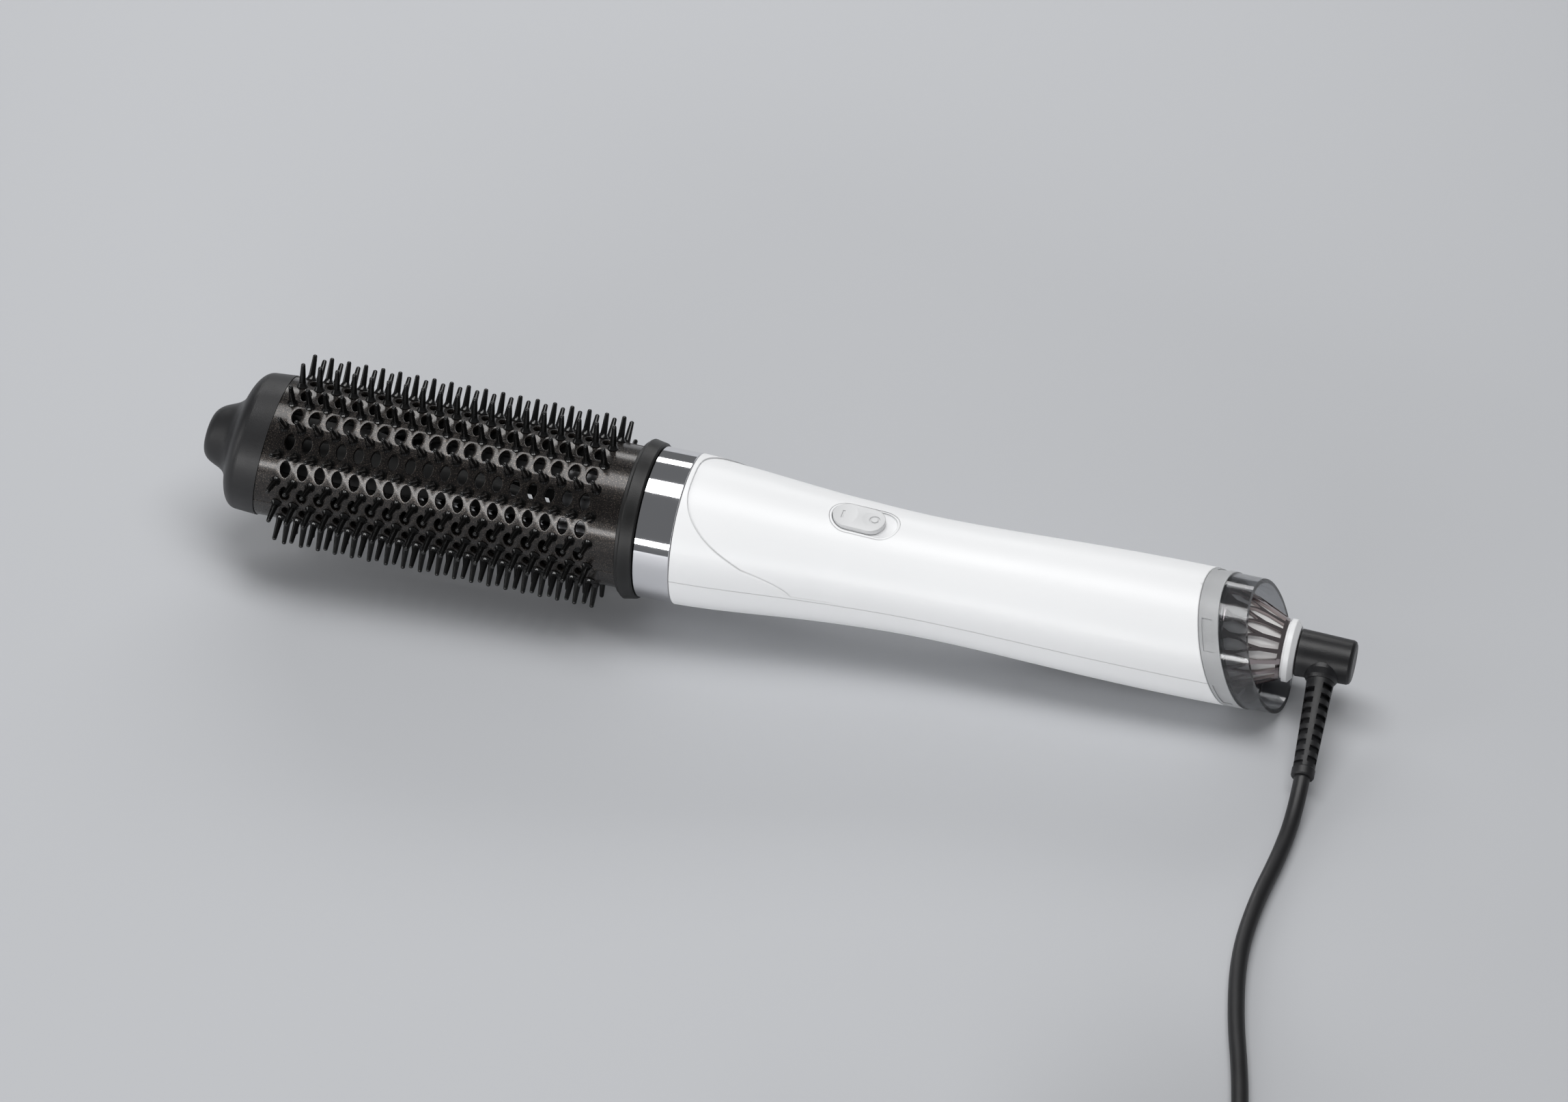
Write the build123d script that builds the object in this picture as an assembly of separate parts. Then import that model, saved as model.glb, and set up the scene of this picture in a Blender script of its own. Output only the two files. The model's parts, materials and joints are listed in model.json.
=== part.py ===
from build123d import *
import math
import os

# Hot air brush, millimetres. Every piece is modelled in a straight frame: X runs along
# the barrel from nose to tail, X = 0 is the front face of the handle, Z is up through
# the switch. place() then lays the whole brush down as it rests on a table.

# ---- driving dimensions -------------------------------------------------------------
NOSE_LEAN = 8.0              # lean of the nose's sections, their tops back, degrees
NOSE_BACK = -152.9           # where the nose meets the barrel, on the axis
NOSE_RING = [(NOSE_BACK, 25.8), (-161.0, 25.2)]
NOSE_LINE = [(-161.0, 25.2), (-163.2, 24.3), (-164.9, 22.4), (-166.3, 19.2), (-167.5, 15.8),
             (-169.6, 13.0), (-172.7, 11.4), (-175.6, 10.0), (-177.4, 8.3), (-178.3, 6.0),
             (-178.6, 3.0)]

BARREL_R = 25.3
BARREL_WALL = 1.6
BARREL_FRONT = -152.8        # on the axis; the edge leans like the nose
BARREL_BACK = -14.1

ROWS = 16                    # bristle rows round the barrel
ROW_STEP = 360.0 / ROWS
FIRST_ROW = -5.5             # elevation of a row that lies on a seam, degrees
PINS = 19                    # bristles in a row
PIN_PITCH = 6.36
FIRST_PIN = -144.6
PIN_TIP_R = 34.4             # from the barrel's axis to a bristle's tip
PIN_ROOT_R = 1.5             # where a bristle stands in its rail
PIN_BASE_R = 1.9
STRIP_R = 23.4               # outer face of the bar that carries a row
STRIP_W = 3.8
STRIP_T = 2.0
SLOT_W = 3.3                 # slot in the barrel that the strip's rail fills
SLOT_X = (-146.9, -27.8)
RAIL_R = 25.1

VENT_L = 6.0                 # round the barrel
VENT_W = 3.6                 # along the barrel

CHROME_R = 26.9
CHROME_FRONT = -13.2
SHELL_WALL = 2.2
HANDLE = [(0, 26.9), (21, 25.5), (42, 23.5), (61, 22.1), (82, 21.2), (107, 21.4),
          (143, 22.6), (168, 23.1), (200, 22.9)]
SCOOP = [(1.7, 0), (1.7, 3.2), (2.1, 9.5), (4.2, 14.6), (9.0, 19.1), (15.5, 21.8), (25, 23.4)]
SCOOP_DEPTH = 0.55           # of the thumb scoop at its front edge; it runs out at SCOOP_END
SCOOP_END = 62.0
TAIL_X = 190.6               # where the handle's rear face crosses the axis
TAIL_SLANT = 20.0            # lean of the rear face, its top forward, degrees
FILTER_R = 22.9
FILTER_RING_L = 6.9
FILTER_CUP_L = 9.7
FILTER_CUP_R = 22.5

SWITCH_X = 63.0              # centre of the switch's recess
RECESS_L = 25.0
RECESS_W = 14.0
SLIDER_L = 18.6
SLIDER_W = 11.0
SWITCH_TRAVEL = 4.0

RIBS = 18                    # ribs of the inlet grille
DISC_X = 213.3               # front of the tail disc's rim
DISC_R = 11.0
ELBOW_X = 217.2
ELBOW_L = 19.4
ELBOW_R = 8.3
SPINDLE_R = 4.95
SPINDLE_BORE_R = 5.0
CORD_EXIT_X = 226.4
RELIEF_DROP = 18.0           # slope of the strain relief below level, degrees
RELIEF_TURN = 3.0            # how far it points back towards the tail, degrees
RELIEF_L = 46.0              # from the elbow's axis to the relief's end

CORD_D = 5.6
COIL_TURN_D = 66.0           # across the coil at the middle of its turns
COIL_ACROSS = 3              # turns side by side
COIL_UP = 4                  # layers


# ---- helpers ------------------------------------------------------------------------
def turned(points):
    """Solid turned about the X axis from an outline of (x, radius) points."""
    outline = make_face(Polyline(*points, close=True))
    return revolve(Plane.XZ * outline, Axis.X, 360)


def tube(x0, x1, outer, inner):
    """Plain tube about the X axis."""
    return turned([(x0, inner), (x1, inner), (x1, outer), (x0, outer)])


def rod(x0, x1, radius):
    """Plain round bar about the X axis."""
    return turned([(x0, 0), (x1, 0), (x1, radius), (x0, radius)])


def block(x, y, z):
    """Box given by its (low, high) limits on each axis."""
    size = [b - a for a, b in (x, y, z)]
    middle = [(a + b) / 2 for a, b in (x, y, z)]
    return Pos(*middle) * Box(*size)


def spun(solid, degrees):
    """The solid turned about the X axis."""
    return Rot(degrees, 0, 0) * solid


def elevation(degrees):
    """Turn that takes the +Z direction to this elevation on the -Y side."""
    return 90.0 - degrees


def slanted(x0, x1):
    """Slab between two planes that lean like the handle's rear face."""
    lean = math.cos(math.radians(TAIL_SLANT))
    return Pos((x0 + x1) / 2, 0, 0) * Rot(0, -TAIL_SLANT, 0) * Box((x1 - x0) * lean, 160, 160)


def upright(x, y, z0, z1, radius):
    """Round bar that stands along Z."""
    return Pos(x, y, (z0 + z1) / 2) * Cylinder(radius, z1 - z0)


def stadium(x, length, width, z0, z1):
    """Upright prism with round ends, long along X."""
    outline = SlotOverall(length, width)
    return Pos(x, 0, z0) * extrude(outline, z1 - z0)


# ---- nose ---------------------------------------------------------------------------
def nose_plane(x):
    """Plane through the axis here that leans like the nose."""
    lean = math.radians(NOSE_LEAN)
    return Plane(origin=(x, 0, 0), x_dir=(0, 1, 0), z_dir=(math.cos(lean), 0, -math.sin(lean)))


def nose_loft(line, ruled=False):
    """Round body through leaning sections of these (x, radius)."""
    return loft([nose_plane(x) * Circle(radius) for x, radius in line], ruled=ruled)


def nose_cap():
    """Cool nose: a round nub that flares into the ring over the barrel's end."""
    step = NOSE_BACK - 2.1
    outer = nose_loft(NOSE_RING, ruled=True).fuse(nose_loft(NOSE_LINE))
    room = nose_loft([(step, 23.4), (-161.5, 23.0)], ruled=True)
    nub = nose_loft([(-161.5, 23.0), (-164.2, 19.6), (-166.2, 14.6), (-169.0, 10.8),
                     (-175.6, 7.4)], ruled=True)
    bore = nose_loft([(step - 0.1, 21.9), (NOSE_BACK + 1, 21.9)], ruled=True)
    lip = nose_loft([(NOSE_BACK - 0.4, 23.5), (NOSE_BACK + 0.7, 23.5)], ruled=True)
    return outer.fuse(lip) - [room, nub, bore]


def leaning(x0, x1):
    """Slab between two planes that lean like the nose."""
    lean = math.cos(math.radians(NOSE_LEAN))
    return Pos((x0 + x1) / 2, 0, 0) * Rot(0, NOSE_LEAN, 0) * Box((x1 - x0) * lean, 160, 160)


def barrel_end_plate():
    """Disc inside the nose that closes the barrel and carries the air deflector."""
    return nose_loft([(-157.5, 23.1), (NOSE_BACK - 2.2, 23.1)], ruled=True)


def air_deflector():
    """Cone that turns the air stream outwards to the vents."""
    cone_body = turned([(-160, 0), (-160, 17.5), (-148.5, 17.5), (-96.0, 8.0), (-62.0, 2.4),
                        (-60.0, 0)])
    return cone_body - leaning(-220, NOSE_BACK - 2.0)


# ---- barrel -------------------------------------------------------------------------
def pin_positions():
    return [FIRST_PIN + PIN_PITCH * i for i in range(PINS)]


def vent_cutter():
    """Pointed prism, longer round the barrel than along it, that stands along Z."""
    tip, side = VENT_L / 2, VENT_W / 2
    outline = make_face(Polyline((0, -tip), (side, 0), (0, tip), (-side, 0), close=True))
    return Pos(0, 0, BARREL_R - 5) * extrude(outline, 8)


def barrel():
    """Vented barrel: a tube with a slot for each bristle strip and vents between them."""
    inner = BARREL_R - BARREL_WALL
    body = tube(BARREL_FRONT - 8, BARREL_BACK, BARREL_R, inner) - leaning(-220, BARREL_FRONT)
    seam = block((BARREL_FRONT - 9, BARREL_BACK + 1), (-1.1, 1.1), (BARREL_R - 0.2, BARREL_R + 1))
    slot = block(SLOT_X, (-SLOT_W / 2, SLOT_W / 2), (inner - 2, BARREL_R + 2))
    vents = [Pos(x + PIN_PITCH / 2, 0, 0) * vent_cutter() for x in pin_positions()[:-1]]
    cuts = []
    for i in range(ROWS):
        angle = elevation(FIRST_ROW + ROW_STEP * i)
        cuts.append(spun(slot, angle))
        cuts += [spun(vent, angle + ROW_STEP / 2) for vent in vents]
    seams = [spun(seam, elevation(FIRST_ROW + 2 * ROW_STEP * i)) for i in range(ROWS // 2)]
    return body - [*seams, *cuts]


def bristle_strip():
    """Bar inside the barrel whose rail fills a slot, with one row of bristles on it."""
    half = STRIP_W / 2
    rail = SLOT_W / 2 - 0.1
    bar = block((-148.0, -26.0), (-half, half), (STRIP_R - STRIP_T, STRIP_R))
    rib = block((SLOT_X[0] + 0.1, SLOT_X[1] - 0.1), (-rail, rail), (STRIP_R - 0.1, RAIL_R))
    outline = [
        Polyline((0, RAIL_R - 0.4), (PIN_ROOT_R, RAIL_R - 0.4), (PIN_ROOT_R, BARREL_R + 0.02),
                 (PIN_BASE_R, BARREL_R + 0.02), (PIN_BASE_R, BARREL_R + 0.3)),
        ThreePointArc((PIN_BASE_R, BARREL_R + 0.3), (1.5, 26.2), (1.2, 26.9)),
        Line((1.2, 26.9), (0.8, PIN_TIP_R - 0.7)),
        ThreePointArc((0.8, PIN_TIP_R - 0.7), (0.6, PIN_TIP_R - 0.2), (0.15, PIN_TIP_R)),
        Polyline((0.15, PIN_TIP_R), (0, PIN_TIP_R), (0, RAIL_R - 0.4)),
    ]
    pin = revolve(Plane.XZ * make_face(outline), Axis.Z, 360)
    return bar.fuse(rib, *[Pos(x, 0, 0) * pin for x in pin_positions()])


def barrel_heater_ring():
    """Ceramic heating band bonded inside the handle end of the barrel."""
    return tube(-25.4, -15.4, 23.6, 22.9)


def barrel_thermistor():
    """Temperature bead on the heating band, with its glass sleeve."""
    bead = Pos(-20.4, 0, -21.7) * Sphere(1.1)
    return bead.fuse(Pos(-18.0, 0, -21.7) * Rot(0, 90, 0) * Cylinder(0.6, 5.0))


# ---- collar and chrome ring ---------------------------------------------------------
def collar_ring():
    """Black insulating collar, with the socket that holds the barrel."""
    return turned([(-20.0, 25.4), (-20.0, 26.9), (-19.7, 27.3), (-18.8, 27.3), (-18.6, 28.3),
                   (-18.1, 28.6), (-14.0, 27.8), (-13.5, 27.4), (-13.5, 23.9), (4.0, 23.9),
                   (4.0, 22.0), (-13.9, 22.0), (-13.9, 25.4)])


def chrome_ring():
    """Polished trim ring between the collar and the handle."""
    edge = 0.25
    return turned([(CHROME_FRONT, 24.1), (-0.3, 24.1), (-0.3, CHROME_R - edge),
                   (-0.3 - edge, CHROME_R), (CHROME_FRONT + edge, CHROME_R),
                   (CHROME_FRONT, CHROME_R - edge)])


# ---- heater -------------------------------------------------------------------------
def heater_housing():
    """Tube round the air heater, with a flange that sits in the collar."""
    return turned([(-46.0, 16.6), (24.0, 16.6), (24.0, 17.4), (-8.0, 17.4), (-8.0, 21.8),
                   (-10.0, 21.8), (-10.0, 17.4), (-46.0, 17.4)])


def heater_frame():
    """Crossed mica boards that carry the heating wire."""
    flat = block((-42, 20), (-13.2, 13.2), (-0.4, 0.4))
    upright_board = block((-42, 20), (-0.4, 0.4), (-13.2, 13.2))
    feet = [spun(block((16, 20), (-16.4, 16.4), (-0.4, 0.4)), a) for a in (0, 90)]
    return flat.fuse(upright_board, *feet)


def heater_coils():
    """Heating wire: loops wound round the crossed boards."""
    loops = [Pos(-39.0 + 3.4 * i, 0, 0) * Rot(0, 90, 0) * Torus(14.1, 0.45) for i in range(16)]
    return Compound(children=loops)


def thermal_cutout():
    """Safety cut-out on its strap behind the heater."""
    can = Pos(31.0, 0, 0) * Rot(0, 90, 0) * Cylinder(4.6, 5.0)
    strap = block((28.0, 28.5), (-14.0, 14.0), (-2.0, 2.0))
    tabs = [block((33.5, 38.0), (y - 1.2, y + 1.2), (-0.4, 0.4)) for y in (-2.6, 2.6)]
    return can.fuse(strap, *tabs)


# ---- handle shells ------------------------------------------------------------------
def handle_profile(offset):
    """Outline of the handle, this far inside its outer surface."""
    points = [(x, r - offset) for x, r in HANDLE]
    curve = Spline(points)
    sides = Polyline(points[-1], (points[-1][0], 0), (0, 0), points[0])
    return Plane.XZ * make_face([curve, sides])


def handle_tube():
    """Whole handle shell before it is split, cut to the slanted rear face."""
    outer = revolve(handle_profile(0), Axis.X, 360)
    inner = revolve(handle_profile(SHELL_WALL), Axis.X, 360)
    return (outer - inner) - slanted(TAIL_X, TAIL_X + 60)


def thumb_scoop():
    """Thin skin taken off the top of the handle, behind a round step near its front."""
    run = [(x, r) for x, r in HANDLE if x < SCOOP_END]
    sunk = [(x, r - SCOOP_DEPTH * (1 - x / SCOOP_END)) for x, r in run]
    over = [(x, r + 3) for x, r in reversed(HANDLE[:5])]
    face = make_face([Spline([*sunk, (SCOOP_END, 22.06)]),
                      Polyline((SCOOP_END, 22.06), *over, sunk[0])])
    half = [(x, y) for x, y in SCOOP]
    other = [(x, -y) for x, y in reversed(SCOOP[1:])]
    edge = Spline([*other, *half[1:]])
    back = Polyline((25, 23.4), (SCOOP_END, 23.4), (SCOOP_END, -23.4), (25, -23.4))
    area = Pos(0, 0, 1) * extrude(make_face([edge, back]), 40)
    return revolve(Plane.XZ * face, Axis.X, 360) & area


BOSSES = [(38.0, 15.0), (38.0, -15.0), (124.0, 13.0), (124.0, -13.0)]
SEAM = 0.06                  # each shell stops this far short of the parting plane


def bosses(z0, z1, radius):
    """Round posts at the four screws."""
    return [upright(x, y, z0, z1, radius) for x, y in BOSSES]


def inside(solids):
    """Trim posts to the inner wall of the handle."""
    core = revolve(handle_profile(SHELL_WALL - 0.4), Axis.X, 360)
    return [solid & core for solid in solids]


def handle_upper_shell():
    """Upper half of the handle, with the window for the switch."""
    half = handle_tube() & block((-5, 230), (-40, 40), (SEAM, 40))
    shell = half.fuse(*inside(bosses(2.0, 24.0, 2.7))) - thumb_scoop()
    pilot = bosses(0.0, 9.0, 1.2)
    return shell - [*pilot, stadium(SWITCH_X, RECESS_L, RECESS_W, 15, 30)]


def plate_seat(depth):
    """Prism of the rating plate, this deep in the underside of the handle."""
    outer = revolve(handle_profile(depth), Axis.X, 360)
    return (stadium(150.0, 46.0, 20.0, -30, -10)) - outer


def handle_lower_shell():
    """Lower half of the handle, with screw posts and the seat of the rating plate."""
    half = handle_tube() & block((-5, 230), (-40, 40), (-40, -SEAM))
    shell = half.fuse(*inside(bosses(-24.0, 1.6, 2.7)))
    through = bosses(-24.0, 2.0, 1.6)
    heads = bosses(-30.0, -11.9, 2.5)
    return shell - [*through, *heads, plate_seat(0.7)]


def shell_screws():
    """Four pan-head screws that hold the shells together."""
    shanks = bosses(-12.2, 7.5, 1.15)
    heads = bosses(-13.7, -11.95, 2.3)
    recess = [upright(x, y, -14.0, -13.0, 0.9) for x, y in BOSSES]
    screws = [head.fuse(shank) - slot for head, shank, slot in zip(heads, shanks, recess)]
    return Compound(children=screws)


def rating_plate():
    """Blank plate set in the underside."""
    seat = stadium(150.0, 45.6, 19.6, -30, -10)
    outer = revolve(handle_profile(0.1), Axis.X, 360)
    inner = revolve(handle_profile(0.65), Axis.X, 360)
    return (seat & outer) - inner


# ---- switch -------------------------------------------------------------------------
def switch_bezel():
    """Dished frame in the handle's window, with a slot for the slider's stem."""
    body = stadium(SWITCH_X, RECESS_L - 0.2, RECESS_W - 0.2, 15.4, 26)
    outer = revolve(handle_profile(0.15), Axis.X, 360)
    well = stadium(SWITCH_X, RECESS_L - 1.8, RECESS_W - 1.8, 20.2, 30)
    slot = stadium(SWITCH_X - 0.2, 12.0, 4.6, 10, 30)
    under = stadium(SWITCH_X, RECESS_L - 3.0, RECESS_W - 3.0, 10, 18.6)
    return (body & outer) - [well, slot, under]


def switch_slider():
    """Thumb cap of the switch, with its cross ridge and stem."""
    x = SWITCH_X - SWITCH_TRAVEL / 2
    cap = stadium(x, SLIDER_L, SLIDER_W, 20.45, 26)
    crown = revolve(handle_profile(-0.95), Axis.X, 360)
    cap = cap & crown
    cap = cap - [Pos(x + s * 5.0, 0, 42.2) * Rot(90, 0, 0) * Cylinder(19.6, 20) for s in (-1, 1)]
    stem = stadium(x, 6.0, 3.6, 14.6, 21)
    marks = block((x - 6.1, x - 5.3), (-1.8, 1.8), (20, 26))
    ring = upright(x + 5.6, 0, 20, 26, 1.8) - upright(x + 5.6, 0, 19, 27, 1.2)
    floor = Pos(0, 0, -0.25) * cap
    return cap.fuse(stem) - [(marks - floor), (ring - floor)]


def slide_switch():
    """Electrical slide switch on the board, under the cap."""
    x = SWITCH_X
    case = block((x - 9, x + 9), (-4.5, 4.5), (9.4, 14.2))
    return case.fuse(*[block((x + s * 5 - 0.4, x + s * 5 + 0.4), (y - 0.3, y + 0.3), (6.6, 9.5))
                       for s in (-1, 0, 1) for y in (-2.5, 2.5)])


def control_board():
    """Circuit board that hangs under the switch."""
    board = block((47, 108), (-12.5, 12.5), (7.8, 9.3))
    pins = [block((SWITCH_X + s * 5 - 0.6, SWITCH_X + s * 5 + 0.6), (y - 0.5, y + 0.5), (7, 10))
            for s in (-1, 0, 1) for y in (-2.5, 2.5)]
    return board - pins


def board_components():
    """Relay, capacitor, rectifier and chips on the board."""
    z = 7.7
    relay = block((86, 104), (-7, 3), (z - 9, z))
    capacitor = upright(78, 5, z - 12, z, 3.6)
    chips = [block((x, x + 5), (-5, -1), (z - 1.5, z)) for x in (50, 70, 78)]
    rectifier = block((88, 102), (5.2, 9.2), (z - 8, z))
    return Compound(children=[relay, capacitor, *chips, rectifier])


def power_wires():
    """Two insulated wires from the cord's contacts to the board."""
    wires = []
    for y in (-3.2, 3.2):
        path = FilletPolyline((188.8, y, 13.5), (181.8, y, 13.5), (179.8, y, 18.4),
                              (143, y, 18.4), (128, y, 12.2), (109, y, 11.2),
                              radius=[2, 2, 14, 9])
        wires.append(sweep(Plane(path @ 0, z_dir=path % 0) * Circle(0.8), path))
    return Compound(children=wires)


# ---- fan ----------------------------------------------------------------------------
def motor_housing():
    """Fan duct with a hub for the motor, joined by straightening vanes."""
    duct = tube(146, 177, 17.8, 16.8)
    hub = tube(143, 163, 9.6, 8.6)
    vane = block((150, 160), (-0.5, 0.5), (9.1, 17.2))
    return duct.fuse(hub, *[spun(vane, 360 / 9 * i) for i in range(9)])


def motor_mounts():
    """Rubber rings that hold the fan duct in the handle, notched for the wires."""
    notch = block((140, 180), (-4.4, 4.4), (16, 22))
    front = tube(147.5, 151.5, 20.0, 17.85) - notch
    rear = tube(170.0, 174.0, 20.6, 17.85) - notch
    return Compound(children=[front, rear])


def fan_motor():
    """Brushless motor can, with its rear boss bored for the shaft."""
    return turned([(140, 1.26), (165.5, 1.26), (165.5, 4.0), (164, 8.5), (141.5, 8.5),
                   (140, 7.0)])


def motor_shaft():
    """Steel shaft that carries the impeller."""
    return rod(138.5, 176.0, 1.2)


def impeller():
    """Nine-blade fan wheel on the shaft."""
    hub = turned([(166.5, 1.2), (175.0, 1.2), (175.0, 2.6), (173.0, 5.6), (168.0, 8.4),
                  (166.5, 8.4)])
    blade = Pos(171, 0, 11.9) * Rot(0, 0, 38) * Box(8.6, 0.9, 8.8)
    core = rod(160, 180, 16.3) - rod(160, 180, 3.2)
    return hub.fuse(*[spun(blade & core, 360 / 9 * i) for i in range(9)])


# ---- inlet --------------------------------------------------------------------------
def filter_ring():
    """Clear ring that latches the filter to the handle."""
    body = tube(170, 215, FILTER_R, 21.2) & slanted(TAIL_X + 0.25, TAIL_X + FILTER_RING_L)
    web = tube(170, 215, 21.6, 19.6) & slanted(TAIL_X + 0.25, TAIL_X + 2.4)
    lip = tube(170, 215, 20.5, 19.6) & slanted(TAIL_X - 4.5, TAIL_X + 0.6)
    ring = body.fuse(web, lip)
    window = tube(170, 215, 24.0, FILTER_R - 0.35) & slanted(TAIL_X + 1.3, TAIL_X + 4.8)
    windows = [window & spun(block((170, 215), (-5.5, 5.5), (10, 30)), a)
               for a in (45, 105, 225, 315)]
    return ring - windows


def filter_cup():
    """Smoked cup behind the ring, open at the back."""
    x0 = TAIL_X + FILTER_RING_L
    body = turned([(180, FILTER_R - 0.2), (x0 + 8, FILTER_CUP_R), (230, FILTER_CUP_R - 0.3),
                   (230, 20.9), (180, 21.2)]) & slanted(x0 + 0.05, x0 + FILTER_CUP_L)
    tongue = tube(170, 225, 21.1, 19.7) & slanted(TAIL_X + 2.6, x0 + 0.6)
    return body.fuse(tongue)


def cone(points, wall):
    """Shell of revolution of this wall, its outer line through the points."""
    return turned([*points, *[(x, r - wall) for x, r in reversed(points)]])


GRILLE_LINE = [(DISC_X - 25.9, 18.9), (DISC_X - 21.5, 18.7), (DISC_X - 12.5, 15.9),
               (DISC_X - 0.9, 10.6)]


def grille_windows():
    """Prisms of the pointed openings near the disc and of the diamonds between them."""
    near = [(-2.1, 1.15), (-8.0, 1.75), (-12.0, 1.35), (-16.3, 0), (-12.0, -1.35),
            (-8.0, -1.75), (-2.1, -1.15)]
    far = [(-10.5, 0), (-15.5, 1.9), (-18.9, 2.15), (-23.5, 0), (-18.9, -2.15), (-15.5, -1.9)]
    petals = [make_face(Polyline(*[(DISC_X + x, y) for x, y in outline], close=True))
              for outline in (near, far)]
    step = 360 / RIBS
    cuts = []
    for i in range(RIBS):
        cuts.append(spun(Pos(0, 0, 6) * extrude(petals[0], 20), step * i))
        cuts.append(spun(Pos(0, 0, 6) * extrude(petals[1], 20), step * (i + 0.5)))
    return cuts


def inlet_grille():
    """Bright cone of branching ribs that the air is drawn through."""
    shell = cone(GRILLE_LINE, 1.3)
    foot = tube(DISC_X - 28.1, DISC_X - 25.8, 19.4, 17.4)
    return (shell - grille_windows()).fuse(foot)


def inlet_screen():
    """Pale screen that lines the grille."""
    line = [(x, r - 1.45) for x, r in GRILLE_LINE]
    return cone(line, 0.5)


def end_disc():
    """White disc at the tail, with the bearing of the cord's swivel."""
    outline = [(-7.5, SPINDLE_BORE_R), (3.6, SPINDLE_BORE_R), (3.6, 8.9), (1.9, DISC_R),
               (0, DISC_R), (0, 9.9), (-0.8, 9.9), (-0.8, 7.2), (-7.5, 7.2)]
    return turned([(DISC_X + x, r) for x, r in outline])


BLOCK_X = DISC_X - 24.3       # front of the insulator inside the grille


def contact_block():
    """Fixed insulator inside the grille that holds the contact springs."""
    disc = rod(BLOCK_X, BLOCK_X + 3.0, 16.4)
    holes = [spun(Pos(BLOCK_X + 1.5, 0, 11.6) * Rot(0, 90, 0) * Cylinder(3.0, 6), 60 * i)
             for i in range(6)]
    post = rod(BLOCK_X + 2.9, BLOCK_X + 6.8, 5.6)
    return (disc - holes).fuse(post)


def contact_springs():
    """Spring pins that press on the slip rings of the spindle."""
    pins = [Pos(BLOCK_X + 7.7, 0, z) * Rot(0, 90, 0) * Cylinder(0.8, 1.5) for z in (-3.4, 3.4, 0)]
    return Compound(children=pins)


# ---- swivel -------------------------------------------------------------------------
def relief_plane():
    """Plane at the elbow's axis whose Z runs out along the strain relief."""
    drop = math.radians(RELIEF_DROP)
    turn = math.radians(RELIEF_TURN)
    out = (math.sin(turn) * math.cos(drop), -math.cos(turn) * math.cos(drop), -math.sin(drop))
    return Plane(origin=(CORD_EXIT_X, 0, 0), x_dir=(math.cos(turn), math.sin(turn), 0), z_dir=out)


def on_relief(outline):
    """Solid turned about the relief's axis from (radius, distance) points."""
    face = make_face(Polyline(*outline, close=True))
    return relief_plane() * revolve(Plane.XZ * face, Axis.Z, 360)


def swivel_elbow():
    """Right-angled swivel: spindle, round body and the boss of the strain relief."""
    end = ELBOW_X + ELBOW_L
    body = turned([(ELBOW_X, 0), (ELBOW_X, ELBOW_R - 0.3), (ELBOW_X + 0.3, ELBOW_R),
                   (end - 1.3, 7.75), (end - 0.4, 7.3), (end, 6.4), (end, 0)])
    spindle = rod(DISC_X - 13.3, ELBOW_X + 1, SPINDLE_R)
    tip = rod(DISC_X - 15.6, DISC_X - 13.2, 3.6)
    boss = on_relief([(0, 0), (6.3, 0), (6.3, 6.6), (5.6, 8.6), (4.9, 9.6), (0, 9.6)])
    socket = on_relief([(0, 3.0), (3.9, 3.0), (3.9, 12.0), (0, 12.0)])
    return body.fuse(spindle, tip, boss) - socket


def swivel_retainer():
    """Snap ring that keeps the spindle in its bearing."""
    return tube(DISC_X - 12.7, DISC_X - 11.1, 6.6, SPINDLE_R)


RELIEF_SLOTS = 8              # flexing windows along each of the relief's four sides
RELIEF_PITCH = 3.95


def strain_relief():
    """Tapered sleeve with rows of flexing windows, seated in the elbow's boss."""
    end = RELIEF_L
    body = on_relief([(0, 3.1), (3.85, 3.1), (3.85, 9.7), (4.75, 9.7), (4.6, 12.5),
                      (3.75, end - 3.4), (4.0, end - 3.0), (4.0, end - 0.5), (3.7, end),
                      (0, end)])
    plane = relief_plane()
    cuts = []
    for i in range(RELIEF_SLOTS):
        for quarter in range(4):
            s = 12.4 + RELIEF_PITCH * (i + 0.5 * (quarter % 2))
            window = Pos(4.5, 0, s) * Box(3.2, 4.4, 2.1)
            cuts.append(plane * Rot(0, 0, 45 + 90 * quarter) * window)
    return body - cuts


# ---- placement ----------------------------------------------------------------------
def rest_tilt():
    """Lean at which the rearmost bristle tips and the filter's lower edge both touch."""
    slope = math.tan(math.radians(TAIL_SLANT))
    head_x = pin_positions()[-1]
    head_drop = PIN_TIP_R * math.cos(math.radians(FIRST_ROW))
    ends = [(TAIL_X + FILTER_RING_L, FILTER_R),
            (TAIL_X + FILTER_RING_L + FILTER_CUP_L, FILTER_CUP_R - 0.2)]
    return min(math.degrees(math.atan2(head_drop - r, x + slope * r - head_x)) for x, r in ends)


def resting_place(pieces):
    """Move that leans the brush to its rest and sets its box on the origin."""
    lean = Rot(0, rest_tilt(), 0)
    boxes = [(lean * piece).bounding_box() for piece in pieces]
    low = [min(b.min.X for b in boxes), min(b.min.Y for b in boxes), min(b.min.Z for b in boxes)]
    high = [max(b.max.X for b in boxes), max(b.max.Y for b in boxes)]
    return Pos(-(low[0] + high[0]) / 2, -(low[1] + high[1]) / 2, -low[2]) * lean


# ---- cord ---------------------------------------------------------------------------
# The cord lies in the resting frame. Its route leaves the strain relief, drops to the
# table and runs forward to the coil, turn by turn.
COIL_CENTRE = (174.0, -256.0)
COIL_FLOOR = 1.05            # underside of the lowest turn, which lies on the tie
COIL_OUT_R = COIL_TURN_D / 2 + CORD_D * COIL_ACROSS / 2
COIL_IN_R = COIL_TURN_D / 2 - CORD_D * COIL_ACROSS / 2
COIL_TOP = COIL_FLOOR + CORD_D * COIL_UP

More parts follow.
